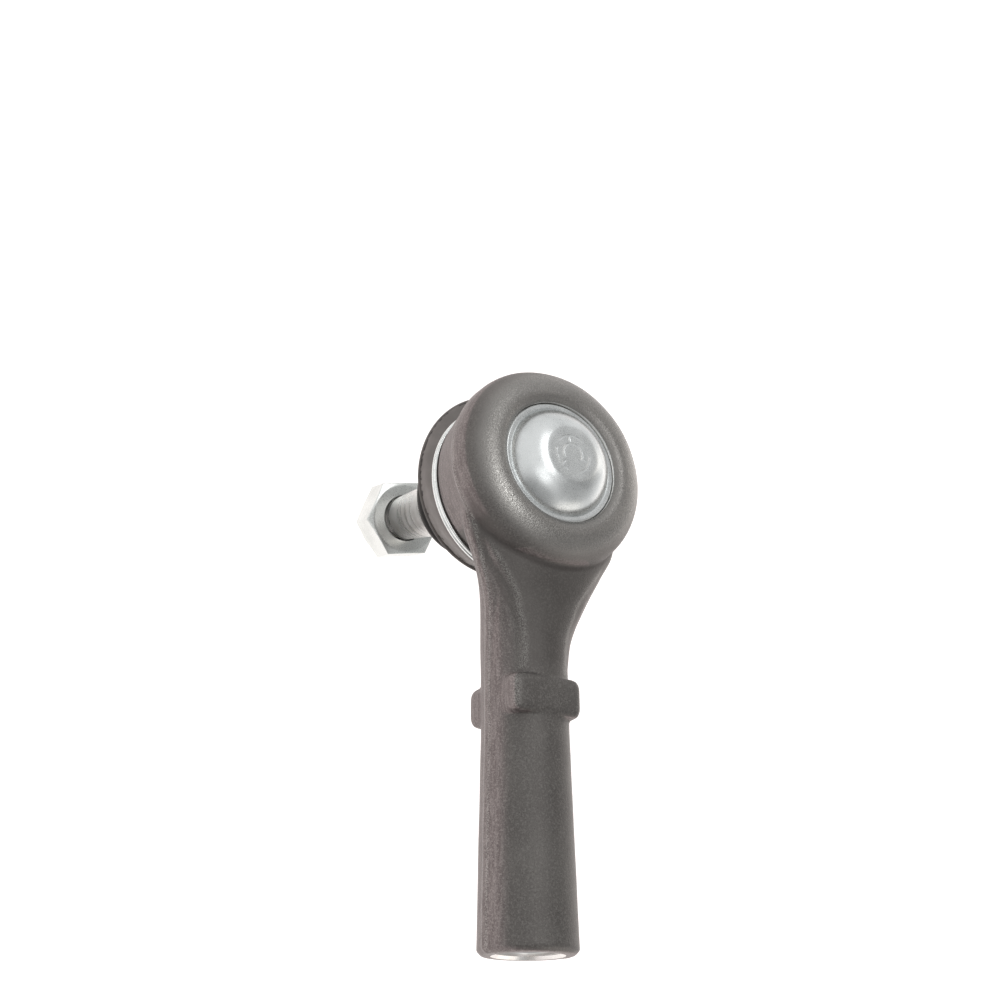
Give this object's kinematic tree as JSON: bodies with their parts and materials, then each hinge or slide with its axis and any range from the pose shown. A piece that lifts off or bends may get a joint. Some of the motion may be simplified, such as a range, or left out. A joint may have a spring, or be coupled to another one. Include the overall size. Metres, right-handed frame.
{
  "type": "tie rod end",
  "caption": "Outer steering tie rod end: forged head and threaded socket shank, tilting tapered ball stud, dust boot with clamp rings, closing cap and self-locking nut.",
  "frame": {"origin": "centre of the threaded socket's mouth, on the shank's axis", "axes": "+X along the shank, out of the socket's mouth; +Z along the housing's axis, closing cap up and stud down; +Y across the head"},
  "size_m": [0.1144, 0.042, 0.0818],
  "materials": {
    "forged_steel": "shot-blasted forging skin, dark and oiled",
    "cap_zinc": "pressed steel, bright zinc plate",
    "bearing_polymer": "natural acetal",
    "spring_wire": "bright drawn wire",
    "boot_rubber": "moulded rubber, satin",
    "machined_steel": "turned, fine circular marks",
    "nut_zinc": "zinc plate",
    "nylon": "natural nylon"
  },
  "bodies": {
    "housing": {"forged_housing": "forged_steel", "closing_cap": "cap_zinc", "upper_bearing_seat": "bearing_polymer", "lower_bearing_seat": "bearing_polymer", "preload_spring": "spring_wire", "boot_clamp_ring": "spring_wire"},
    "boot": {"dust_boot": "boot_rubber"},
    "boot_neck": {"stud_clamp_ring": "spring_wire"},
    "stud": {"ball_stud": "machined_steel", "lock_nut": "nut_zinc", "nylon_ring": "nylon"}
  },
  "joints": [
    {"name": "stud_swing", "type": "hinge", "parent": "housing", "child": "boot", "pos_m": [-0.092, 0, 0.0038], "axis": [0, 1, 0], "range_deg": [-32.3, 7.7], "deforming": ["dust_boot"]},
    {"name": "stud_rock", "type": "hinge", "parent": "boot", "child": "boot_neck", "pos_m": [-0.092, 0, 0.0038], "axis": [0.977, 0, -0.213], "range_deg": [-20, 20], "deforming": ["dust_boot"]},
    {"name": "stud_spin", "type": "hinge", "parent": "boot_neck", "child": "stud", "pos_m": [-0.092, 0, 0.0038], "axis": [0.213, 0, 0.977], "continuous": true}
  ]
}
